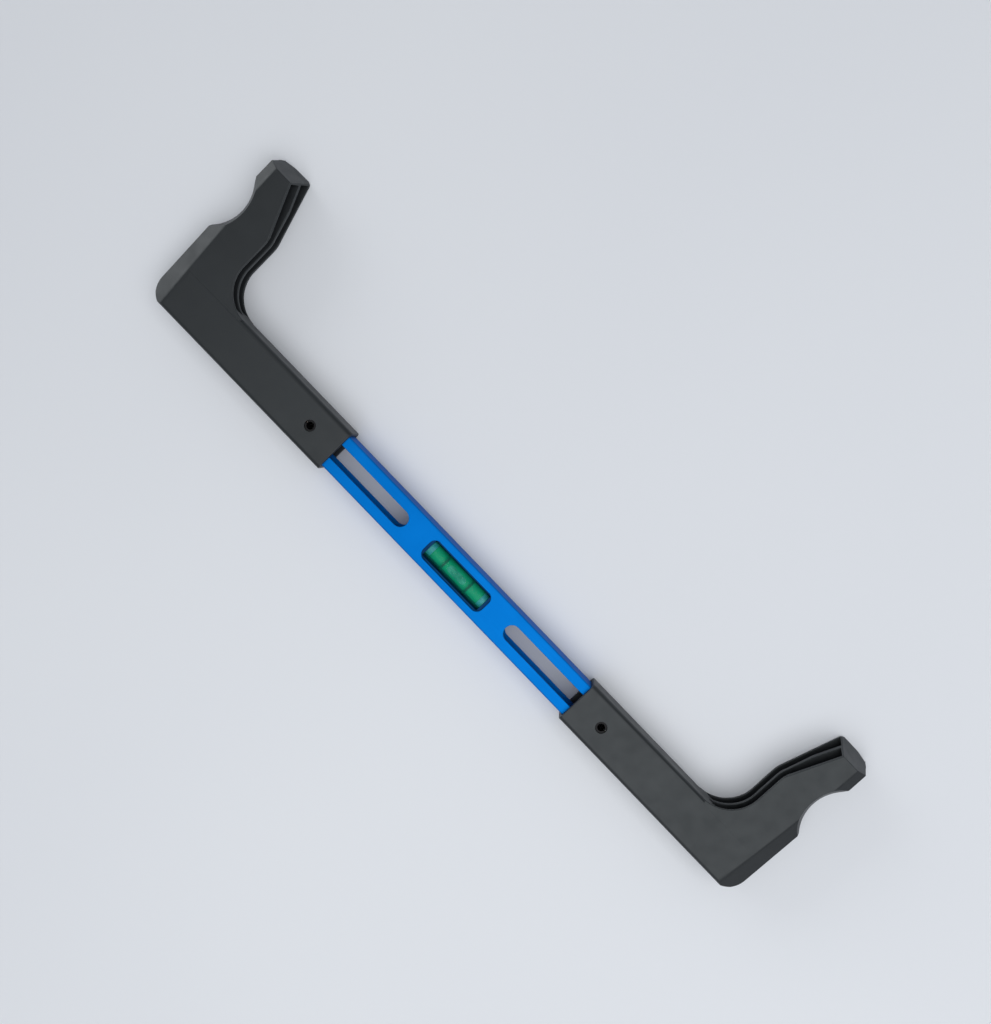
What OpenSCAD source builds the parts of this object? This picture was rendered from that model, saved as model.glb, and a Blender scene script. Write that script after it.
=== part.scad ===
// Steering wheel level: a hollow aluminium bar with a spirit vial at its middle and two moulded hooks
// that slide on it against springs. The hooks are drawn at the ends of their outward travel.
// X runs along the bar, Y towards the tips of the hooks and Z towards the side that shows the vial.

/* [Bar] */
// Length of the bar
bar_len = 208; // [190:1:230]
// Width of the bar's front
bar_w = 18.2; // [16.4:0.1:21]
// Wall of the hollow bar
bar_wall = 1.2; // [0.9:0.1:1.6]
// Radius of the bar's long outer edges
bar_edge_r = 0.8; // [0.4:0.1:1.2]
// Radius of the bar's long inner corners
bar_inner_r = 0.5; // [0.3:0.1:0.8]

/* [Guide slots] */
// Width of a slot
slot_w = 8; // [7:0.1:9]
// Distance from the middle of the bar to the inner end of a slot
slot_start = 32.3; // [28:0.1:38]
// Solid bar left between the outer end of a slot and the end of the bar
slot_land = 5.8; // [5:0.1:10]

/* [Window] */
// Length of the window over the vial
window_len = 38; // [34:0.5:42]
// Width of the window
window_w = 11; // [10:0.1:12]
// Corner radius of the window
window_r = 3.5; // [2:0.1:4.5]

/* [Vial] */
// Outer diameter of the vial
vial_d = 9.2; // [8.4:0.1:9.8]
// Length of the vial
vial_len = 35; // [31:0.5:37]
// Bore of the vial
vial_bore = 7; // [6:0.1:7.6]
// Length of each plug that closes the vial
vial_plug_len = 2.5; // [1.5:0.1:4]
// Distance between the two marker rings
ring_pitch = 15.2; // [13:0.1:18]
// Width of a marker ring
ring_w = 1.1; // [0.5:0.1:1.6]
// Thickness of a marker ring
ring_t = 0.06; // [0.04:0.01:0.08]
// Length of the bubble
bubble_len = 11.6; // [9:0.1:13]
// Diameter of the bubble
bubble_d = 4; // [3:0.1:5]

/* [Vial cradle] */
// Floor of the cradle under the vial
cradle_floor = 0.6; // [0.4:0.1:1.2]
// Length of the cradle that lies past each end of the window
cradle_lap = 4; // [2.5:0.5:7]

/* [Hook sleeve] */
// Wall of the sleeve round the bar
sleeve_wall = 1.9; // [1.6:0.1:2.6]
// Radius of the sleeve's long outer edges
sleeve_edge_r = 2.3; // [1.2:0.1:3]
// Distance from the mouth of the sleeve to the guide pin
mouth_to_pin = 16; // [12:0.5:20]
// Distance from the mouth of the sleeve to the inner wall of the arm
sleeve_reach = 87; // [83:0.1:95]
// Depth of the bar's cavity past the inner wall of the arm
cavity_past_wall = 14; // [11:0.5:15]

/* [Hook arm] */
// Distance from the inner wall of the arm to its outer face, level with the bar
arm_w = 25.3; // [24:0.1:28]
// Reach of the tip from the middle of the bar
tip_reach = 75; // [71:0.1:81]
// Depth of the arm's faces below the sleeve's faces
arm_step = 0.2; // [0.1:0.05:0.5]
// Lean of the outer face, in degrees
outer_lean = 0.5; // [0:0.1:3]
// Radius of the outer corner at the foot of the arm
corner_r = 9; // [6:0.1:10]
// Radius of the fillet between the sleeve and the arm
cup_r = 17; // [13:0.5:19]
// Height at which the inner wall bends outwards
bend_y = 43.3; // [39:0.1:46]
// Radius of that bend
bend_r = 14; // [11:0.5:20]
// Slope of the inner wall past the bend, in degrees
ramp_angle = 16.5; // [13:0.5:19]
// Slope of its front edge, which leans further out, in degrees
ramp_front_angle = 22.7; // [20:0.1:25]
// Width of the leaning part of that wall at the back of the arm
ramp_lean_w = 3.5; // [2.5:0.1:4.5]
// Distance from the inner wall of the arm to the outer side of the tip
tip_out = 25; // [24:0.1:27]
// Radius of the outer corner of the tip
tip_r = 3; // [1.5:0.1:4]
// Radius of the inner corner of the tip
tip_inner_r = 2.5; // [1:0.1:4]
// Distance by which the end of the tip slopes back from its back to its front
tip_slope = 5.9; // [4:0.1:7]

/* [Rim seat] */
// Radius of the seat that takes the inside of a wheel rim
seat_r = 20.3; // [18:0.1:23]
// Height of the seat over the middle of the bar
seat_y = 44.5; // [43:0.5:47]
// Thickness of the arm behind the seat
seat_wall = 20; // [18.5:0.1:21.5]
// Rounding of the shoulder under the seat
shoulder_r = 1.5; // [1:0.1:2.5]
// Rounding of the crest over the seat
crest_r = 8; // [5:0.1:9]

/* [Bevels] */
// Width of the flat face, level with the bar, that the outer bevel leaves
face_w = 16.1; // [15:0.1:18]
// Width of the flat face that the outer bevel leaves at the tip
tip_face_w = 19.3; // [18:0.1:21]
// Lean of the outer bevel's edge, in degrees
bevel_lean = 3.6; // [2:0.1:6]
// Width of the outer bevel at its full depth
bevel_w = 10; // [7:0.1:12]
// Rounding between the outer bevel and the flat face
bevel_edge_r = 6; // [2:0.5:9]
// Width of the bevel round the rim seat
seat_bevel_w = 3.2; // [2:0.1:4.5]
// Depth of the bevels
bevel_d = 6; // [4:0.1:7]

/* [Grooves of the arm] */
// Depth of the two grooves in the inner wall
groove_depth = 9; // [5:0.5:10]
// Wall between a groove and the face of the arm
groove_skin = 1.3; // [1:0.1:2]
// Rib between the two grooves
groove_rib = 2; // [1.5:0.1:3]
// Wall between the ends of the grooves and the end of the tip, measured along the arm
groove_end = 1; // [0.6:0.1:2.5]

/* [Guide pins] */
// Diameter of the guide pin
pin_d = 5.2; // [4.2:0.1:5.6]
// Wall of the rolled pin
pin_wall = 0.8; // [0.5:0.1:1.2]
// Slit along the rolled pin
pin_slit = 0.8; // [0.4:0.1:1.2]
// Depth of the pin's ends below the faces of the sleeve
pin_recess = 0.6; // [0.3:0.1:1.2]

/* [Springs] */
// Wire of a spring
wire_d = 0.7; // [0.5:0.05:0.9]
// Turns of a spring
spring_turns = 15; // [10:1:18]
// Length of the spigots that centre a spring
spigot_len = 4; // [2:0.5:6]
// Flange of the plug in the end of the bar
flange_t = 1.2; // [0.8:0.1:2]

/* [Clearances] */
// Sliding gap between the bar and the sleeve
slide_gap = 0.2; // [0.15:0.05:0.35]
// Gap round a piece that is pressed or glued in place
press_gap = 0.05; // [0.02:0.01:0.08]
// Gap round the vial
vial_gap = 0.1; // [0.09:0.01:0.15]
// Gap round the bubble
bubble_gap = 0.15; // [0.1:0.05:0.3]
// Sliding gap between the guide bush and the slot
bush_gap = 0.15; // [0.1:0.05:0.3]
// Gap that is left where the guide bush reaches the end of a slot
stop_gap = 0.35; // [0.2:0.05:0.6]
// Room between a spring and the sleeve's cavity
spring_gap = 1; // [0.6:0.1:1.6]
// Gap between a spring and its spigots
spigot_gap = 0.4; // [0.3:0.05:0.8]
// Gap between the ends of a spring and their seats
seat_gap = 0.1; // [0.05:0.05:0.3]
// Distance that the plug of the bar stays short of the slot
plug_short = 1; // [0.5:0.1:2]
// Wall kept between the grooves and the top of the sleeve
groove_floor = 0.5; // [0.3:0.1:1]

/* [Hidden] */
$fn = 96;
over = 1;
far = 400;

// Sections of the bar and the sleeve
inside_t = vial_d + cradle_floor + 2 * vial_gap;
inside_w = bar_w - 2 * bar_wall;
bar_t = inside_t + 2 * bar_wall;
cavity_w = bar_w + 2 * slide_gap;
cavity_t = bar_t + 2 * slide_gap;
sleeve_w = cavity_w + 2 * sleeve_wall;
sleeve_t = cavity_t + 2 * sleeve_wall;
arm_t = sleeve_t - 2 * arm_step;

// Places of the bar's middle in the object's frame
bar_y = -(tip_reach - sleeve_w / 2) / 2;
bar_z = sleeve_t / 2;

// Places along the bar
slot_end = bar_len / 2 - slot_land;
bush_d = slot_w - 2 * bush_gap;
pin_x = slot_end - stop_gap - bush_d / 2;
mouth_x = pin_x - mouth_to_pin;
wall_x = mouth_x + sleeve_reach;
cavity_end = wall_x + cavity_past_wall;
spring_start = bar_len / 2 + flange_t + seat_gap;
spring_end = cavity_end - seat_gap;

// Section of a spring and of the spigots inside it
spring_od = cavity_t - 2 * spring_gap;
spigot_d = spring_od - 2 * wire_d - 2 * spigot_gap;

// The vial lies just under the bar's front wall
vial_z = inside_t / 2 - vial_gap - vial_d / 2;
vial_room = vial_len - 2 * vial_plug_len;
bubble_z = vial_z + vial_bore / 2 - bubble_gap - bubble_d / 2;
cradle_len = window_len + 2 * cradle_lap;

// Grooves of the arm
groove_w = (arm_t - 2 * groove_skin - groove_rib) / 2;
groove_z = (groove_rib + groove_w) / 2;

// Turns a point of the drawing plane by an angle
function turned(p, a) = [p.x * cos(a) - p.y * sin(a), p.x * sin(a) + p.y * cos(a)];

// Moves from the middle of the bar to the object's frame
module on_bar() {
    translate([0, bar_y, bar_z]) children();
}

// Mirrors what is drawn for the right end to the left end
module left_end() {
    mirror([1, 0, 0]) children();
}

// Extrudes an outline of Y and Z along X, from one place to another
module along_x(from, to) {
    translate([from, 0, 0]) rotate([90, 0, 90]) linear_extrude(to - from) children();
}

// A cylinder along X, from one place to another
module rod_x(d, from, to) {
    translate([from, 0, 0]) rotate([0, 90, 0]) cylinder(d = d, h = to - from);
}

// A rectangle with round corners, about its middle
module rounded(w, h, r) {
    square([w - 2 * r, h], center = true);
    square([w, h - 2 * r], center = true);
    for (x = [-1, 1], y = [-1, 1])
        translate([x * (w / 2 - r), y * (h / 2 - r)]) circle(r);
}

// Outline of one guide slot
module slot_outline() {
    r = slot_w / 2;
    translate([slot_start + r, -r]) square([slot_end - slot_start - slot_w, slot_w]);
    for (x = [slot_start + r, slot_end - r]) translate([x, 0]) circle(r);
}

// Hollow bar with its two slots and the window over the vial
module bar() {
    color("dodgerblue") on_bar() difference() {
        along_x(-bar_len / 2, bar_len / 2) difference() {
            rounded(bar_w, bar_t, bar_edge_r);
            rounded(inside_w, inside_t, bar_inner_r);
        }
        for (side = [0, 1]) mirror([side, 0, 0])
            linear_extrude(bar_t + 2 * over, center = true) slot_outline();
        linear_extrude(bar_t) rounded(window_len, window_w, window_r);
    }
}

// Plug in the end of the bar, with a flange and the spigot that centres the spring
module end_plug() {
    plug_start = slot_end + plug_short;
    flange_end = bar_len / 2 + flange_t;
    on_bar() {
        along_x(plug_start, bar_len / 2)
            rounded(inside_w - 2 * press_gap, inside_t - 2 * press_gap, bar_inner_r);
        along_x(bar_len / 2, flange_end) rounded(bar_w, bar_t, bar_edge_r);
        rod_x(spigot_d, flange_end, flange_end + spigot_len);
    }
}

module end_plug_left() {
    color("dimgray") left_end() end_plug();
}

module end_plug_right() {
    color("dimgray") end_plug();
}

// The outer face of the arm: a line through face_foot that leans outwards
face_foot = [wall_x + arm_w, 0];
face_normal = [cos(outer_lean), -sin(outer_lean)];

// Centre of the round corner at the foot of the arm
corner_y = corner_r - sleeve_w / 2;
corner_c = [face_foot.x + (corner_y * sin(outer_lean) - corner_r) / cos(outer_lean), corner_y];

// Rim seat, with the roundings that lead into it from below and from above
seat_c = [wall_x + seat_wall + seat_r, seat_y];
seat_leant = turned(seat_c - face_foot, outer_lean);
shoulder_drop = sqrt(pow(seat_r + shoulder_r, 2) - pow(seat_leant.x + shoulder_r, 2));
shoulder_c = face_foot + turned([-shoulder_r, seat_leant.y - shoulder_drop], -outer_lean);
tip_x = wall_x + tip_out;
crest_rise = sqrt(pow(seat_r + crest_r, 2) - pow(seat_c.x - tip_x + crest_r, 2));
crest_c = [tip_x - crest_r, seat_y + crest_rise];
tip_c = [tip_x - tip_r, tip_reach - tip_r];

// Point where a rounding touches the rim seat
function on_seat(c) = seat_c + (c - seat_c) * seat_r / norm(c - seat_c);

// Inner wall of the arm, moved into the arm by a depth: its bend and the line of its ramp
cup_y = sleeve_w / 2 + cup_r;
bend_c = [wall_x + bend_r, bend_y - bend_r * tan(ramp_angle / 2)];
function bend_tip(depth) = [wall_x + depth, bend_c.y + (bend_r - depth) * tan(ramp_angle / 2)];
function bend_end(depth) = bend_c + (bend_r - depth) * [-cos(ramp_angle), sin(ramp_angle)];
function ramp_x(depth, y) = bend_tip(depth).x + (y - bend_tip(depth).y) * tan(ramp_angle);

// Centre of the round inner corner of the tip
tip_inner_c = [ramp_x(tip_inner_r, tip_reach - tip_inner_r), tip_reach - tip_inner_r];

// Outline of the open space inside the hook, grown into the arm by a depth
module jaw_space(depth) {
    top = tip_reach + over;
    difference() {
        polygon([
            [mouth_x - over, cup_y],
            [wall_x + depth, cup_y],
            [wall_x + depth, bend_c.y],
            bend_end(depth),
            [ramp_x(depth, top), top],
            [mouth_x - over, top]
        ]);
        translate(bend_c) circle(bend_r - depth);
    }
    intersection() {
        translate([wall_x - cup_r, cup_y]) circle(cup_r + depth);
        translate([wall_x - cup_r, sleeve_w / 2]) square([2 * cup_r, cup_r]);
    }
    translate([mouth_x - over, sleeve_w / 2]) square([sleeve_reach + over - cup_r, cup_r]);
}

// Outline of the sleeve as seen from the front, with the round corner at its outer end
module sleeve_outline() {
    top = sleeve_w / 2;
    polygon([
        [mouth_x, -top],
        [corner_c.x, -top],
        corner_c,
        corner_c + corner_r * face_normal,
        [face_foot.x + top * tan(outer_lean), top],
        [mouth_x, top]
    ]);
    translate(corner_c) circle(corner_r);
}

// Outline of the arm as seen from the front. Its inner foot slants, so that the edges of the arm run out
// along the rounding of the sleeve
module arm_outline() {
    difference() {
        union() {
            polygon([
                [wall_x, 0],
                face_foot,
                shoulder_c + shoulder_r * face_normal,
                shoulder_c,
                on_seat(shoulder_c),
                on_seat(crest_c),
                crest_c,
                [tip_x, crest_c.y],
                [tip_x, tip_c.y],
                tip_c,
                [tip_c.x, tip_reach],
                [wall_x - cup_r, tip_reach],
                [wall_x - cup_r, sleeve_w / 2]
            ]);
            translate(shoulder_c) circle(shoulder_r);
            translate(crest_c) circle(crest_r);
            translate(tip_c) circle(tip_r);
        }
        translate(seat_c) circle(seat_r);
        jaw_space(0);
        difference() {
            polygon([
                tip_inner_c,
                tip_inner_c + (tip_inner_r + over) * [-cos(ramp_angle), sin(ramp_angle)],
                [ramp_x(-over, tip_reach + over), tip_reach + over],
                [tip_inner_c.x, tip_reach + over]
            ]);
            translate(tip_inner_c) circle(tip_inner_r);
        }
    }
}

// Block that cuts a slope into the front face: its edge lies on X = 0, from one Y upwards, and it goes
// down by the depth over the width towards +X
module slope_block(width, depth, from = -far / 2) {
    rotate([0, atan(depth / width), 0]) translate([0, from, 0]) cube([far / 2, far, far / 2]);
}

// Block that cuts the outer bevel: as above, with a rounding where the bevel leaves the front face
module bevel_block() {
    angle = atan(bevel_d / bevel_w);
    down = [cos(angle), -sin(angle)];
    reach = bevel_edge_r * tan(angle / 2);
    translate([0, far / 2, 0]) rotate([90, 0, 0]) linear_extrude(far) difference() {
        polygon([[-reach, 0], [-reach, far], [far, far], far * down, reach * down]);
        translate([-reach, -bevel_edge_r]) circle(bevel_edge_r);
    }
}

// Bevels of the front face along the outer side and round the rim seat
module outer_bevels() {
    translate([wall_x + face_w, 0, sleeve_t / 2]) rotate([0, 0, -bevel_lean]) bevel_block();
    translate([wall_x + tip_face_w, 0, sleeve_t / 2]) bevel_block();
    translate([seat_c.x, seat_c.y, arm_t / 2 - bevel_d])
        cylinder(r1 = seat_r, r2 = seat_r + 2 * seat_bevel_w, h = 2 * bevel_d);
}

// Sloping end of the tip, moved down the arm by an inset
module tip_end(inset) {
    translate([wall_x, tip_reach - tip_slope - inset, arm_t / 2]) rotate([0, 0, 90]) slope_block(tip_slope, arm_t);
}

// Lean of the inner wall past the bend: it starts from nothing and grows towards the tip
module ramp_lean() {
    translate([wall_x, bend_y, arm_t / 2]) rotate([0, 0, -ramp_front_angle]) mirror([1, 0, 0])
        slope_block(ramp_lean_w, arm_t, 0);
}

// One groove along the inner wall of the arm: it runs out over the sleeve and ends below the end of the tip
module groove(z) {
    difference() {
        translate([0, 0, z]) linear_extrude(groove_w, center = true) intersection() {
            jaw_space(groove_depth);
            translate([wall_x - cup_r, sleeve_w / 2 + groove_floor]) square(far);
        }
        tip_end(groove_end);
    }
}

// Moulded hook: the sleeve that slides on the bar, the arm and the spigot for the spring
module hook() {
    on_bar() {
        difference() {
            union() {
                intersection() {
                    along_x(mouth_x, wall_x + far / 2) rounded(sleeve_w, sleeve_t, sleeve_edge_r);
                    linear_extrude(sleeve_t + 2 * over, center = true) sleeve_outline();
                }
                linear_extrude(arm_t, center = true) arm_outline();
            }
            along_x(mouth_x - over, cavity_end) rounded(cavity_w, cavity_t, bar_edge_r);
            translate([pin_x, 0, 0]) cylinder(d = pin_d + 2 * press_gap, h = sleeve_t + 2 * over, center = true);
            for (back = [0, 1]) mirror([0, 0, back]) outer_bevels();
            tip_end(0);
            ramp_lean();
            for (z = [-groove_z, groove_z]) groove(z);
        }
        rod_x(spigot_d, cavity_end - spigot_len, cavity_end + over);
    }
}

module hook_left() {
    color([0.2, 0.21, 0.23]) left_end() hook();
}

module hook_right() {
    color([0.2, 0.21, 0.23]) hook();
}

// Bush on the guide pin that runs in the bar's slots
module guide_bush() {
    on_bar() translate([pin_x, 0, 0]) difference() {
        cylinder(d = bush_d, h = cavity_t - 2 * press_gap, center = true);
        cylinder(d = pin_d + 2 * press_gap, h = cavity_t + 2 * over, center = true);
    }
}

module guide_bush_left() {
    color("ivory") left_end() guide_bush();
}

module guide_bush_right() {
    color("ivory") guide_bush();
}

// Rolled steel pin through both walls of the sleeve and the bush
module guide_pin() {
    length = sleeve_t - 2 * pin_recess;
    on_bar() translate([pin_x, 0, 0]) difference() {
        cylinder(d = pin_d, h = length, center = true);
        cylinder(d = pin_d - 2 * pin_wall, h = length + 2 * over, center = true);
        translate([0, -pin_slit / 2, -length]) cube([pin_d, pin_slit, 2 * length]);
    }
}

module guide_pin_left() {
    color([0.25, 0.25, 0.27]) left_end() guide_pin();
}

module guide_pin_right() {
    color([0.25, 0.25, 0.27]) guide_pin();
}

// The wire of a spring: a hexagon carried along a helix, with a straight stretch at both ends
wire_sides = 6;
turn_rings = 8;
wire_r = wire_d / 2;
coil_r = spring_od / 2 - wire_r;
helix_start = spring_start + wire_r;
helix_len = spring_end - spring_start - wire_d;
spring_rings = spring_turns * turn_rings;
function helix(i) = [
    helix_start + helix_len * i / spring_rings,
    coil_r * cos(360 * i / turn_rings),
    coil_r * sin(360 * i / turn_rings)
];
wire_path = [
    helix(0) - [0, 0, wire_d],
    for (i = [0 : spring_rings]) helix(i),
    helix(spring_rings) + [0, 0, wire_d]
];

// Directions across the wire at a point of its path
wire_last = len(wire_path) - 1;
function wire_heading(i) =
    let (d = wire_path[min(i + 1, wire_last)] - wire_path[max(i - 1, 0)]) d / norm(d);
function wire_side(i) =
    let (c = cross([1, 0, 0], wire_heading(i))) c / norm(c);
function wire_ring(i) =
    let (u = wire_side(i), v = cross(wire_heading(i), u))
    [for (k = [0 : wire_sides - 1])
        let (a = 360 * k / wire_sides) wire_path[i] + wire_r * (cos(a) * u + sin(a) * v)];

// Least gap between turns of the wire, measured on its points
wire_gap = min([
    for (i = [0 : wire_last - turn_rings + 1], j = [i + turn_rings - 1 : wire_last])
        norm(wire_path[j] - wire_path[i])
]) - wire_d;
echo(least_gap_between_turns = wire_gap);

module spring() {
    points = [for (i = [0 : wire_last]) each wire_ring(i)];
    sides = [
        for (i = [0 : wire_last - 1], k = [0 : wire_sides - 1])
            let (a = i * wire_sides + k, b = i * wire_sides + (k + 1) % wire_sides)
            each [[a, a + wire_sides, b], [b, a + wire_sides, b + wire_sides]]
    ];
    first = [for (k = [1 : wire_sides - 2]) [0, k, k + 1]];
    top = wire_last * wire_sides;
    last = [for (k = [1 : wire_sides - 2]) [top, top + k + 1, top + k]];
    polyhedron(points, concat(sides, first, last));
}

// Both springs are wound the same way, so the left one is turned about and not mirrored
module spring_left() {
    color("silver") on_bar() rotate([0, 0, 180]) spring();
}

module spring_right() {
    color("silver") on_bar() spring();
}

// Cradle inside the bar that holds the vial under the window
module vial_cradle() {
    trough_d = vial_d + 2 * vial_gap;
    trough_len = vial_len + 2 * vial_gap;
    color("darkslategray") on_bar() difference() {
        along_x(-cradle_len / 2, cradle_len / 2)
            rounded(inside_w - 2 * press_gap, inside_t - 2 * press_gap, bar_inner_r);
        translate([0, 0, vial_z]) {
            rod_x(trough_d, -trough_len / 2, trough_len / 2);
            translate([-trough_len / 2, -trough_d / 2, 0]) cube([trough_len, trough_d, inside_t]);
        }
    }
}

// Clear tube of the vial
module vial_barrel() {
    color([0.75, 0.9, 0.8]) on_bar() translate([0, 0, vial_z]) difference() {
        rod_x(vial_d, -vial_len / 2, vial_len / 2);
        rod_x(vial_bore, -vial_len / 2 - over, vial_len / 2 + over);
    }
}

// Plug that closes one end of the vial
module vial_plug() {
    on_bar() translate([0, 0, vial_z]) rod_x(vial_bore, vial_room / 2, vial_len / 2);
}

module vial_plug_left() {
    color("honeydew") left_end() vial_plug();
}

module vial_plug_right() {
    color("honeydew") vial_plug();
}

// Marker ring round the vial
module vial_ring() {
    middle = ring_pitch / 2;
    on_bar() translate([0, 0, vial_z]) difference() {
        rod_x(vial_d + 2 * ring_t, middle - ring_w / 2, middle + ring_w / 2);
        rod_x(vial_d, middle - ring_w, middle + ring_w);
    }
}

module vial_ring_left() {
    color("black") left_end() vial_ring();
}

module vial_ring_right() {
    color("black") vial_ring();
}

// A capsule along X at the bubble's place
module bubble_form(d, length) {
    translate([0, 0, bubble_z]) {
        rod_x(d, -(length - d) / 2, (length - d) / 2);
        for (x = [-1, 1]) translate([x * (length - d) / 2, 0, 0]) sphere(d = d);
    }
}

// Liquid of the vial, with the room that the bubble takes at rest
module vial_fluid() {
    color("limegreen") on_bar() difference() {
        translate([0, 0, vial_z]) rod_x(vial_bore, -vial_room / 2, vial_room / 2);
        bubble_form(bubble_d + 2 * bubble_gap, bubble_len + 2 * bubble_gap);
    }
}

module vial_bubble() {
    color("palegreen") on_bar() bubble_form(bubble_d, bubble_len);
}

bar();
end_plug_left();
end_plug_right();
hook_left();
hook_right();
guide_bush_left();
guide_bush_right();
guide_pin_left();
guide_pin_right();
spring_left();
spring_right();
vial_cradle();
vial_barrel();
vial_plug_left();
vial_plug_right();
vial_ring_left();
vial_ring_right();
vial_fluid();
vial_bubble();
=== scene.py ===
"""Steering wheel level: blue bar, two moulded hooks and a green vial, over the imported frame."""
import math

import bmesh
import bpy
from mathutils import Matrix, Vector


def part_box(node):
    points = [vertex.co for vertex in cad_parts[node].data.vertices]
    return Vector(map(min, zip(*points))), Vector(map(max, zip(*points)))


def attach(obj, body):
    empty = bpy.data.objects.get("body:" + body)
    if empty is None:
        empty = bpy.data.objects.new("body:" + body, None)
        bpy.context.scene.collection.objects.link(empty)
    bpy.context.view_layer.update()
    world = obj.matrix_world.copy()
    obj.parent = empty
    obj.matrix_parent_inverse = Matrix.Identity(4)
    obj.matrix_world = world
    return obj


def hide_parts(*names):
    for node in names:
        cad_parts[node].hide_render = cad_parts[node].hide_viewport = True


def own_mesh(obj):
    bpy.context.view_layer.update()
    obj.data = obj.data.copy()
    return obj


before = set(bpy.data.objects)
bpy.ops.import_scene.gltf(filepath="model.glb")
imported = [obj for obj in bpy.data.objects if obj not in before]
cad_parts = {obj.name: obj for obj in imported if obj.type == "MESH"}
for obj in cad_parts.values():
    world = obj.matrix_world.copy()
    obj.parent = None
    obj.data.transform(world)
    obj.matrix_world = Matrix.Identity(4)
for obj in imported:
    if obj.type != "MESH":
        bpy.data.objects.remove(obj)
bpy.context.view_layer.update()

MM = 0.001
SIDES = ("left", "right")

# Places that the pieces share, read from the frame. The left end mirrors the right one.
bar_low, bar_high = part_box("bar")
bar_y = (bar_low.y + bar_high.y) / 2
bar_z = (bar_low.z + bar_high.z) / 2
sleeve_mouth_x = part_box("hook_right")[0].x
pin_low, pin_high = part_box("guide_pin_right")

# The photograph's camera, over the hooks' side of the bar, turned so the bar runs down to the right
CAMERA_PLACE = Vector((-7.7, 49.3, 473.2)) * MM
CAMERA_TILT = math.radians(6)
CAMERA_PAN = math.radians(-0.09)
PICTURE_TURN = math.radians(46.04)
CAMERA_LENS = 36.31

# Studio
FLOOR_SIZE = 12
DAYLIGHT_COLOUR = (0.93, 0.96, 1, 1)
DAYLIGHT_STRENGTH = 0.31

# Copies of the CAD meshes: corners and flat faces that are joined
JOIN_DISTANCE = 0.002 * MM
FLAT_ANGLE = math.radians(0.3)

# Softened edges: crisp up to the shallow angle and at narrow corners, full from the sharp angle
SHALLOW_ANGLE = math.radians(63)
SHARP_ANGLE = math.radians(75)
NARROW_CORNER = math.radians(42)
SMOOTH_ANGLE = math.radians(30)
HOOK_EDGE = 0.4 * MM
BAR_EDGE = 0.22 * MM
SMALL_EDGE = 0.2 * MM
EDGE_STEPS = 5

# Sleeves: the cavity, and the reach of a pin's hole as a share of the pin's width
MOUTH_DEPTH = 1 * MM
CAVITY_MARGIN = 0.6 * MM
PIN_REACH = 0.6

# Foot of the arm: a small slanting face with many corners
FOOT_AREA = 3 * MM * MM
FOOT_SLANT = 0.3
FOOT_CORNERS = 8

# Springs
WIRE_D = 0.7 * MM
SPRING_TURNS = 15
WIRE_SIDES = 12
TURN_STEPS = 28

# Vial: the bubble's ends are rounded by a share of its radius
CYLINDER_SIDES = 96
LIQUID_GAP = 0.06 * MM
BUBBLE_GAP = 0.01 * MM
BUBBLE_SINK = 1.5 * MM
BUBBLE_ROUNDING = 0.98
BUBBLE_STEPS = 10

# Most of a noise's values lie between these
NOISE_LOW, NOISE_HIGH = 0.3, 0.7


# Modelling


def only(piece):
    """Selects one object and nothing else."""
    bpy.ops.object.select_all(action="DESELECT")
    piece.select_set(True)
    bpy.context.view_layer.objects.active = piece


def edit(piece):
    """Opens a piece in edit mode."""
    only(piece)
    bpy.ops.object.mode_set(mode="EDIT")


def leave():
    """Leaves edit mode."""
    bpy.ops.object.mode_set(mode="OBJECT")


def apply_modifier(piece, kind, **settings):
    """Adds a modifier with these settings and applies it."""
    modifier = piece.modifiers.new(kind.title(), kind)
    for name, value in settings.items():
        setattr(modifier, name, value)
    only(piece)
    bpy.ops.object.modifier_apply(modifier=modifier.name)


def whole_faced_copy(node, name):
    """A new piece from a CAD node's mesh, its loose triangles joined into whole flat faces."""
    piece = bpy.data.objects.new(name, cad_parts[node].data.copy())
    bpy.context.scene.collection.objects.link(piece)
    edit(piece)
    bpy.ops.mesh.customdata_custom_splitnormals_clear()
    bpy.ops.mesh.select_all(action="SELECT")
    bpy.ops.mesh.remove_doubles(threshold=JOIN_DISTANCE)
    bpy.ops.mesh.dissolve_limited(angle_limit=FLAT_ANGLE)
    leave()
    return piece


def cylinder_along_x(name, middle, radius, length):
    """A cylinder along the bar, with its place in its mesh."""
    bpy.ops.object.select_all(action="DESELECT")
    bpy.ops.mesh.primitive_cylinder_add(
        vertices=CYLINDER_SIDES, radius=radius, depth=length, location=middle,
        rotation=(0, math.pi / 2, 0),
    )
    cylinder = bpy.context.object
    cylinder.name = name
    bpy.ops.object.transform_apply(location=True, rotation=True)
    return cylinder


def soften(piece, widest, width_at=None):
    """Rounds a piece's outer edges, by the widest or by width_at(middle of the edge) if given.

    The rounding grows from nothing on a shallow edge to its full width on a sharp one.
    """
    edit(piece)
    mesh = bmesh.from_edit_mesh(piece.data)
    share = mesh.edges.layers.float.new("bevel_weight_edge")
    for edge in mesh.edges:
        angle = edge.calc_face_angle(0)
        if edge.is_convex and angle > SHALLOW_ANGLE:
            middle = (edge.verts[0].co + edge.verts[1].co) / 2
            width = width_at(middle) if width_at else widest
            sharpness = min(1, (angle - SHALLOW_ANGLE) / (SHARP_ANGLE - SHALLOW_ANGLE))
            edge[share] = width / widest * sharpness
    # Edges at a narrow corner stay crisp, because a rounding would run away along the face
    for face in mesh.faces:
        for loop in face.loops:
            if loop.calc_angle() < NARROW_CORNER:
                loop.edge[share] = loop.link_loop_prev.edge[share] = 0
    bmesh.update_edit_mesh(piece.data)
    leave()
    apply_modifier(
        piece, "BEVEL", width=widest, segments=EDGE_STEPS, limit_method="WEIGHT",
        use_clamp_overlap=False, miter_outer="MITER_ARC",
    )


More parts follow.
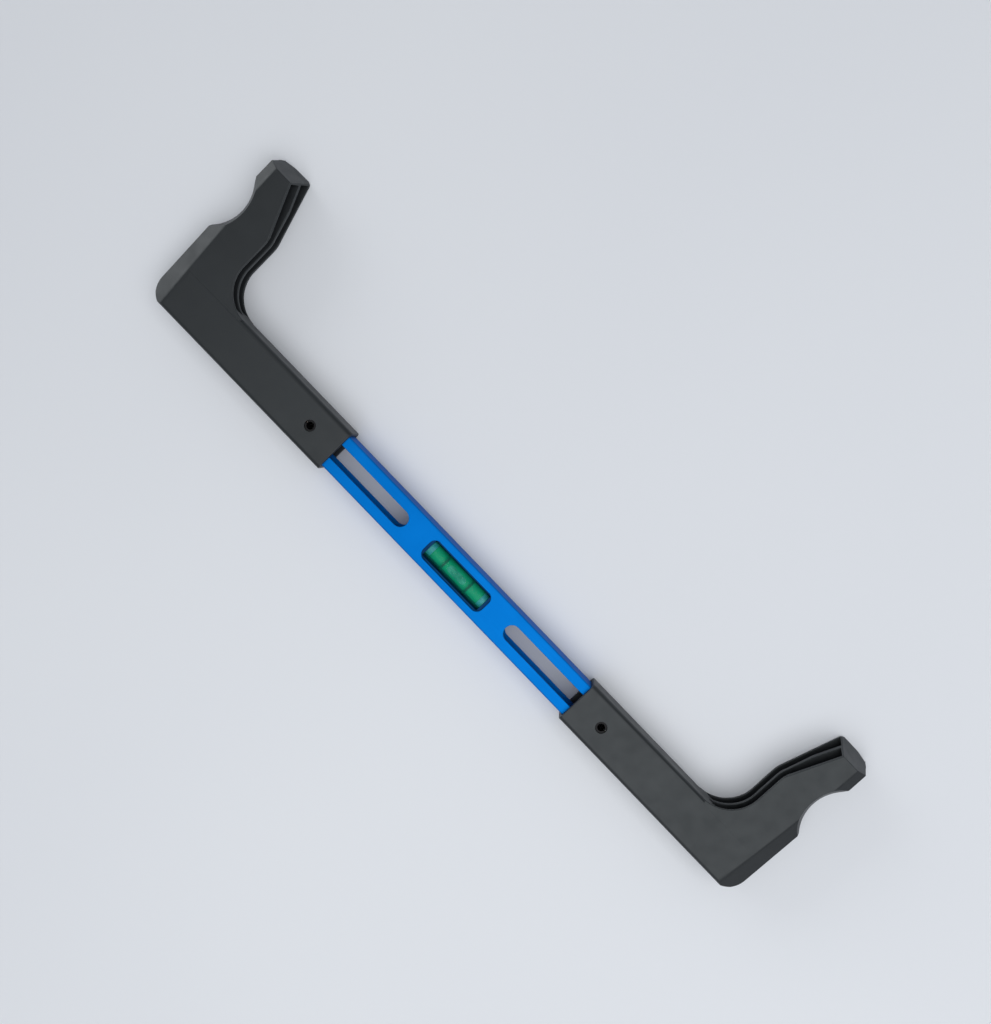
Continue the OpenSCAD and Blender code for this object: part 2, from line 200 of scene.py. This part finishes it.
def finish_surface(piece):
    """Smooth shading over the roundings, with the flat faces kept flat."""
    only(piece)
    bpy.ops.object.shade_smooth_by_angle(angle=SMOOTH_ANGLE)
    apply_modifier(piece, "WEIGHTED_NORMAL", keep_sharp=True)


def give_finish(piece, material):
    """Gives a piece one material all over."""
    piece.data.materials.clear()
    piece.data.materials.append(material)


def dress(piece, material, body, node):
    """Gives a piece its material and its body, and hides the CAD node that it stands for."""
    give_finish(piece, material)
    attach(piece, body)
    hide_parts(node)


# Finishes


class Finish:
    """A procedural material: its shader and the nodes that feed it, all on Object coordinates."""

    def __init__(self, name):
        self.material = bpy.data.materials.new(name)
        self.material.use_nodes = True
        self.nodes = self.material.node_tree.nodes
        self.links = self.material.node_tree.links
        self.shader = self.nodes["Principled BSDF"]
        self.place = self.nodes.new("ShaderNodeTexCoord").outputs["Object"]

    def set(self, values):
        """Sets sockets of the shader that are the same all over."""
        for name, value in values.items():
            self.shader.inputs[name].default_value = value

    def stretched(self, scale):
        """Object coordinates scaled by a different amount along each axis."""
        mapping = self.nodes.new("ShaderNodeMapping")
        mapping.inputs["Scale"].default_value = scale
        self.links.new(self.place, mapping.inputs["Vector"])
        return mapping.outputs["Vector"]

    def noise(self, size, detail=2.0, roughness=0.5, along=None):
        """Noise whose features measure about size, in metres."""
        texture = self.nodes.new("ShaderNodeTexNoise")
        texture.inputs["Scale"].default_value = 1 / size
        texture.inputs["Detail"].default_value = detail
        texture.inputs["Roughness"].default_value = roughness
        self.links.new(along or self.place, texture.inputs["Vector"])
        return texture.outputs["Fac"]

    def colour(self, value, first, second, low=NOISE_LOW, high=NOISE_HIGH):
        """Base colour that goes from the first to the second as the value goes from low to high."""
        ramp = self.nodes.new("ShaderNodeValToRGB")
        stops = zip(ramp.color_ramp.elements, (low, high), (first, second))
        for element, position, colour in stops:
            element.position = position
            element.color = (*colour, 1)
        self.links.new(value, ramp.inputs["Fac"])
        self.links.new(ramp.outputs["Color"], self.shader.inputs["Base Color"])

    def roughness(self, value, smoothest, roughest):
        """Roughness that follows a noise between two limits."""
        span = self.nodes.new("ShaderNodeMapRange")
        span.inputs["From Min"].default_value = NOISE_LOW
        span.inputs["From Max"].default_value = NOISE_HIGH
        span.inputs["To Min"].default_value = smoothest
        span.inputs["To Max"].default_value = roughest
        self.links.new(value, span.inputs["Value"])
        self.links.new(span.outputs["Result"], self.shader.inputs["Roughness"])

    def bump(self, value, depth, strength):
        """Fine relief that follows a noise."""
        relief = self.nodes.new("ShaderNodeBump")
        relief.inputs["Strength"].default_value = strength
        relief.inputs["Distance"].default_value = depth
        self.links.new(value, relief.inputs["Height"])
        self.links.new(relief.outputs["Normal"], self.shader.inputs["Normal"])


def black_moulded_plastic():
    """Black plastic with the fine spark grain of its mould and faint clouds of wear."""
    finish = Finish("black_moulded_plastic")
    clouds = finish.noise(28 * MM, detail=4)
    finish.colour(clouds, (0.0055, 0.0066, 0.0082), (0.009, 0.0105, 0.0125))
    finish.roughness(finish.noise(6 * MM, detail=3), 0.43, 0.52)
    grain = finish.noise(0.35 * MM, detail=3, roughness=0.6)
    finish.bump(grain, 0.03 * MM, strength=0.5)
    finish.set({"Specular IOR Level": 0.57, "Specular Tint": (0.9, 0.97, 1, 1)})
    return finish.material


def blue_anodised_aluminium():
    """Blue anodised aluminium with fine lines along the extrusion."""
    finish = Finish("blue_anodised_aluminium")
    along_bar = finish.stretched((0.02, 1, 1))
    lines = finish.noise(0.25 * MM, detail=3, roughness=0.6, along=along_bar)
    clouds = finish.noise(35 * MM, detail=3)
    finish.colour(clouds, (0.001, 0.142, 0.5), (0.002, 0.168, 0.57))
    finish.roughness(lines, 0.36, 0.5)
    finish.bump(lines, 0.012 * MM, strength=0.35)
    finish.set({
        "Metallic": 0.5, "Specular IOR Level": 0.2, "Specular Tint": (0.02, 0.14, 0.4, 1),
    })
    return finish.material


def blackened_steel():
    """Rolled steel with a black oxide finish."""
    finish = Finish("blackened_steel")
    spots = finish.noise(0.6 * MM, detail=4, roughness=0.7)
    finish.colour(spots, (0.006, 0.006, 0.007), (0.018, 0.018, 0.02), low=0.35)
    finish.roughness(spots, 0.35, 0.6)
    finish.bump(spots, 0.02 * MM, strength=0.3)
    finish.set({"Metallic": 0.6, "Specular IOR Level": 0.3})
    return finish.material


def bright_spring_wire():
    """Drawn spring wire, bright, with faint draw marks."""
    finish = Finish("bright_spring_wire")
    marks = finish.noise(0.3 * MM, detail=3)
    finish.colour(marks, (0.46, 0.46, 0.47), (0.62, 0.62, 0.63))
    finish.roughness(marks, 0.2, 0.36)
    finish.bump(marks, 0.01 * MM, strength=0.3)
    finish.set({"Metallic": 1.0})
    return finish.material


def cradle_painted_shade():
    """Plastic of the vial's cradle, coloured dark blue as painted shade and painted blue reflection
    in the gap round the vial.
    """
    finish = Finish("cradle_painted_shade")
    clouds = finish.noise(9 * MM, detail=3)
    # Painted shade and painted reflection: this dark blue stands in for the shaded, blue-tinted gap
    # round the vial
    finish.colour(clouds, (0.001, 0.04, 0.13), (0.002, 0.056, 0.17))
    finish.roughness(finish.noise(2 * MM), 0.5, 0.65)
    finish.bump(finish.noise(0.4 * MM), 0.015 * MM, strength=0.4)
    finish.set({"Specular IOR Level": 0.08})
    return finish.material


def natural_nylon():
    """Cloudy nylon of the guide bushes."""
    finish = Finish("natural_nylon")
    clouds = finish.noise(3 * MM, detail=3)
    finish.colour(clouds, (0.68, 0.66, 0.58), (0.8, 0.78, 0.7))
    finish.roughness(finish.noise(1 * MM), 0.35, 0.5)
    finish.bump(finish.noise(0.5 * MM), 0.015 * MM, strength=0.3)
    finish.set({"Subsurface Weight": 0.1, "Subsurface Scale": 0.5 * MM})
    return finish.material


def dark_plug_plastic():
    """Dark plastic of the bar's end plugs."""
    finish = Finish("dark_plug_plastic")
    clouds = finish.noise(6 * MM, detail=3)
    finish.colour(clouds, (0.045, 0.045, 0.05), (0.065, 0.065, 0.07))
    finish.roughness(finish.noise(1.5 * MM), 0.45, 0.6)
    finish.bump(finish.noise(0.4 * MM), 0.02 * MM, strength=0.5)
    return finish.material


def clear_acrylic():
    """Polished acrylic of the vial's tube, tinted by the liquid in it."""
    finish = Finish("clear_acrylic")
    finish.colour(finish.noise(5 * MM), (0.01, 0.42, 0.26), (0.02, 0.5, 0.32))
    finish.roughness(finish.noise(1.2 * MM, detail=3), 0.08, 0.2)
    finish.bump(finish.noise(2.5 * MM), 0.01 * MM, strength=0.2)
    finish.set({"IOR": 1.49, "Specular IOR Level": 0.3, "Alpha": 0.2})
    return finish.material


def frosted_acrylic():
    """Pale ends of the vial, where the tube is closed."""
    finish = Finish("frosted_acrylic")
    clouds = finish.noise(2 * MM, detail=3)
    finish.colour(clouds, (0.02, 0.36, 0.48), (0.1, 0.54, 0.66))
    finish.roughness(finish.noise(0.8 * MM), 0.25, 0.4)
    finish.bump(finish.noise(0.5 * MM), 0.02 * MM, strength=0.4)
    finish.set({"IOR": 1.49, "Transmission Weight": 0.15})
    return finish.material


def green_liquid():
    """Clear green liquid of the vial."""
    finish = Finish("green_liquid")
    finish.colour(finish.noise(5 * MM), (0.002, 0.4, 0.15), (0.004, 0.48, 0.19))
    finish.roughness(finish.noise(3 * MM), 0.08, 0.14)
    finish.set({"IOR": 1.36, "Specular IOR Level": 0.1, "Alpha": 0.85})
    return finish.material


def bubble_air():
    """Skin of the air bubble, coloured pale and mottled as a painted highlight for the light seen
    in the bubble.
    """
    finish = Finish("bubble_air")
    # Painted highlight: the pale mottled colour stands in for the light seen through the air bubble
    clouds = finish.noise(2.2 * MM, detail=3)
    finish.colour(clouds, (0.01, 0.2, 0.13), (0.07, 0.4, 0.3), low=0.35, high=0.65)
    finish.roughness(finish.noise(1 * MM), 0.1, 0.2)
    finish.set({"IOR": 1.2, "Specular IOR Level": 0.2})
    return finish.material


def dark_ring_lacquer():
    """Dark green lacquer of the marker rings."""
    finish = Finish("dark_ring_lacquer")
    finish.colour(finish.noise(0.5 * MM), (0.001, 0.09, 0.055), (0.002, 0.14, 0.085))
    finish.roughness(finish.noise(0.4 * MM), 0.35, 0.5)
    finish.bump(finish.noise(0.3 * MM), 0.01 * MM, strength=0.3)
    finish.set({"Specular IOR Level": 0.15})
    return finish.material


def pale_floor_paint():
    """Matt pale paint of the floor."""
    finish = Finish("pale_floor_paint")
    finish.colour(finish.noise(400 * MM), (0.74, 0.765, 0.81), (0.77, 0.795, 0.835))
    finish.set({"Roughness": 0.9, "Specular IOR Level": 0.1})
    return finish.material


# Hooks


def near_pin(point):
    """True near the axis of a guide pin."""
    pin_x = (pin_low.x + pin_high.x) / 2
    reach = (pin_high.x - pin_low.x) * PIN_REACH
    return Vector((abs(point.x) - pin_x, point.y - bar_y)).length < reach


def inside_sleeve(point):
    """True in the sleeve's cavity, past its mouth."""
    return (
        abs(point.x) > sleeve_mouth_x + MOUTH_DEPTH
        and abs(point.y - bar_y) < (bar_high.y - bar_low.y) / 2 + CAVITY_MARGIN
        and abs(point.z - bar_z) < (bar_high.z - bar_low.z) / 2 + CAVITY_MARGIN
    )


def hook_edge_width(middle):
    """Outer edges take the moulded rounding, the pin holes a smaller one and the cavity none."""
    if inside_sleeve(middle):
        return 0
    return SMALL_EDGE if near_pin(middle) else HOOK_EDGE


def is_foot(face):
    """True for the small slanting faces that end the arm on the rounding of the sleeve."""
    slant = min(abs(face.normal.x), abs(face.normal.y))
    return slant > FOOT_SLANT and len(face.verts) > FOOT_CORNERS and face.calc_area() < FOOT_AREA


def off_middle(vertex):
    """How far a vertex lies above or below the bar's middle."""
    return abs(vertex.co.z - bar_z)


def run_out_foot(piece):
    """The square corners at the arm's foot run out on the sleeve, as fans of small faces."""
    edit(piece)
    mesh = bmesh.from_edit_mesh(piece.data)
    for foot in [face for face in mesh.faces if is_foot(face)]:
        outermost = max(off_middle(vertex) for vertex in foot.verts)
        outer = [loop for loop in foot.loops if outermost - off_middle(loop.vert) < JOIN_DISTANCE]
        corner_loop = min(outer, key=lambda loop: abs(loop.vert.co.x))
        corner = corner_loop.vert
        beside_corner = [edge.other_vert(corner) for edge in corner.link_edges]
        top = next(vertex for vertex in beside_corner if vertex not in foot.verts)
        rim = []
        loop = corner_loop.link_loop_next
        while loop != corner_loop:
            rim.append(loop.vert)
            loop = loop.link_loop_next
        bmesh.ops.delete(mesh, geom=[foot], context="FACES_ONLY")
        bmesh.ops.weld_verts(mesh, targetmap={corner: top})
        for first, second in zip(rim, rim[1:]):
            mesh.faces.new((top, first, second))
    bmesh.update_edit_mesh(piece.data)
    leave()


def moulded_hook(side, material):
    """A hook with rounded edges, its foot run out."""
    hook = whole_faced_copy(f"hook_{side}", f"moulded_hook_{side}")
    run_out_foot(hook)
    soften(hook, HOOK_EDGE, hook_edge_width)
    finish_surface(hook)
    dress(hook, material, f"{side}_hook_body", f"hook_{side}")


# Bar and springs


def blue_bar(material):
    """The bar with its edges broken."""
    bar = whole_faced_copy("bar", "blue_bar")
    soften(bar, BAR_EDGE)
    finish_surface(bar)
    dress(bar, material, "bar_body", "bar")


def coil_spring(side, material):
    """A spring of round wire: a circle carried along a helix by a screw, closed at both ends."""
    low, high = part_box(f"spring_{side}")
    length = high.x - low.x
    radius = (high.z - low.z - WIRE_D) / 2
    bpy.ops.object.select_all(action="DESELECT")
    bpy.ops.mesh.primitive_circle_add(
        vertices=WIRE_SIDES, radius=WIRE_D / 2, location=(0, radius, 0)
    )
    spring = bpy.context.object
    spring.name = f"coil_spring_{side}"
    bpy.ops.object.transform_apply(location=True)
    apply_modifier(
        spring, "SCREW", axis="X", angle=math.tau, screw_offset=(length - WIRE_D) / SPRING_TURNS,
        iterations=SPRING_TURNS, steps=TURN_STEPS, render_steps=TURN_STEPS,
        use_merge_vertices=True, merge_threshold=JOIN_DISTANCE,
    )
    edit(spring)
    bpy.ops.mesh.select_all(action="SELECT")
    bpy.ops.transform.translate(value=(low.x + WIRE_D / 2, bar_y, bar_z))
    bpy.ops.mesh.fill_holes(sides=WIRE_SIDES)
    bpy.ops.mesh.normals_make_consistent(inside=False)
    leave()
    only(spring)
    bpy.ops.object.shade_smooth_by_angle(angle=SMOOTH_ANGLE)
    dress(spring, material, "bar_body", f"spring_{side}")
    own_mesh(spring)


# Vial


def liquid_filling(material):
    """The liquid fills the tube from plug to plug. The bubble lies in it as a piece of its own."""
    low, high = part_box("vial_fluid")
    radius = (high.z - low.z) / 2 - LIQUID_GAP
    length = high.x - low.x - 2 * LIQUID_GAP
    liquid = cylinder_along_x("green_liquid_filling", (low + high) / 2, radius, length)
    soften(liquid, SMALL_EDGE)
    finish_surface(liquid)
    dress(liquid, material, "bar_body", "vial_fluid")


def air_bubble(material):
    """The bubble is pressed against the top of the bore: a capsule cut to the bore's curve."""
    low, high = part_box("vial_bubble")
    bore_low, bore_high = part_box("vial_fluid")
    radius = (high.y - low.y) / 2
    middle = Vector(((low.x + high.x) / 2, bar_y, bore_high.z - BUBBLE_SINK))
    bubble = cylinder_along_x("air_bubble", middle, radius, high.x - low.x)
    apply_modifier(
        bubble, "BEVEL", width=radius * BUBBLE_ROUNDING, segments=BUBBLE_STEPS,
        limit_method="ANGLE", use_clamp_overlap=False,
    )
    bore_radius = (bore_high.z - bore_low.z) / 2 - BUBBLE_GAP
    bore_middle = (bore_low + bore_high) / 2
    bore = cylinder_along_x("bore", bore_middle, bore_radius, bore_high.x - bore_low.x)
    apply_modifier(bubble, "BOOLEAN", operation="INTERSECT", object=bore, solver="EXACT")
    bpy.data.objects.remove(bore)
    finish_surface(bubble)
    dress(bubble, material, "bubble_body", "vial_bubble")


def vial_tube(material):
    """The clear tube with its ends rounded."""
    tube = whole_faced_copy("vial_barrel", "vial_tube")
    soften(tube, SMALL_EDGE)
    finish_surface(tube)
    dress(tube, material, "bar_body", "vial_barrel")


# Studio and camera


def pale_floor():
    """A plain pale floor under the level."""
    bpy.ops.object.select_all(action="DESELECT")
    bpy.ops.mesh.primitive_plane_add(size=FLOOR_SIZE)
    floor = bpy.context.object
    floor.name = "pale_floor"
    give_finish(floor, pale_floor_paint())


def soft_lamp(name, place, aim, size, power, spread):
    """A rectangular softbox, turned towards its aim."""
    lamp = bpy.data.lights.new(name, "AREA")
    lamp.spread = spread
    lamp.shape = "RECTANGLE"
    lamp.size, lamp.size_y = size
    lamp.energy = power
    holder = bpy.data.objects.new(name, lamp)
    bpy.context.scene.collection.objects.link(holder)
    holder.location = place
    direction = Vector(aim) - Vector(place)
    holder.rotation_euler = direction.to_track_quat("-Z", "Y").to_euler()


def studio():
    """Dim daylight all round, a large lamp overhead, right of the middle, and a low left one."""
    pale_floor()
    world = bpy.data.worlds.new("soft_daylight")
    world.use_nodes = True
    sky = world.node_tree.nodes["Background"]
    sky.inputs["Color"].default_value = DAYLIGHT_COLOUR
    sky.inputs["Strength"].default_value = DAYLIGHT_STRENGTH
    bpy.context.scene.world = world
    soft_lamp(
        "overhead_softbox", place=(0.38, -0.1, 1.0), aim=(0.12, 0, 0), size=(1.6, 1.3),
        power=10.4, spread=math.radians(180),
    )
    soft_lamp(
        "left_softbox", place=(-1.8, 0.1, 0.45), aim=(0, 0, 0), size=(2.4, 0.8),
        power=3.3, spread=math.radians(70),
    )


def photograph_camera():
    """The camera, looking down, tilted towards the bar and turned in the picture."""
    data = bpy.data.cameras.new("photograph_camera")
    data.lens = CAMERA_LENS
    camera = bpy.data.objects.new("photograph_camera", data)
    bpy.context.scene.collection.objects.link(camera)
    tilt = Matrix.Rotation(-CAMERA_TILT, 3, "X")
    pan = Matrix.Rotation(-CAMERA_PAN, 3, "Y")
    turn = Matrix.Rotation(PICTURE_TURN, 3, "Z")
    camera.matrix_world = Matrix.Translation(CAMERA_PLACE) @ (tilt @ pan @ turn).to_4x4()
    bpy.context.scene.camera = camera


hook_plastic = black_moulded_plastic()
for side in SIDES:
    moulded_hook(side, hook_plastic)
blue_bar(blue_anodised_aluminium())
spring_wire = bright_spring_wire()
for side in SIDES:
    coil_spring(side, spring_wire)
liquid_filling(green_liquid())
# The bubble's pale skin is a painted highlight
air_bubble(bubble_air())
vial_tube(clear_acrylic())

# CAD nodes whose shape is right keep their mesh and take a finish
paired_finishes = {
    "end_plug": dark_plug_plastic(),
    "guide_bush": natural_nylon(),
    "guide_pin": blackened_steel(),
    "vial_plug": frosted_acrylic(),
    "vial_ring": dark_ring_lacquer(),
}
for node, material in paired_finishes.items():
    for side in SIDES:
        give_finish(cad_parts[f"{node}_{side}"], material)
# The cradle's dark blue is painted shade for the gap round the vial
give_finish(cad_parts["vial_cradle"], cradle_painted_shade())

studio()
photograph_camera()
bpy.context.scene.view_settings.view_transform = "Standard"
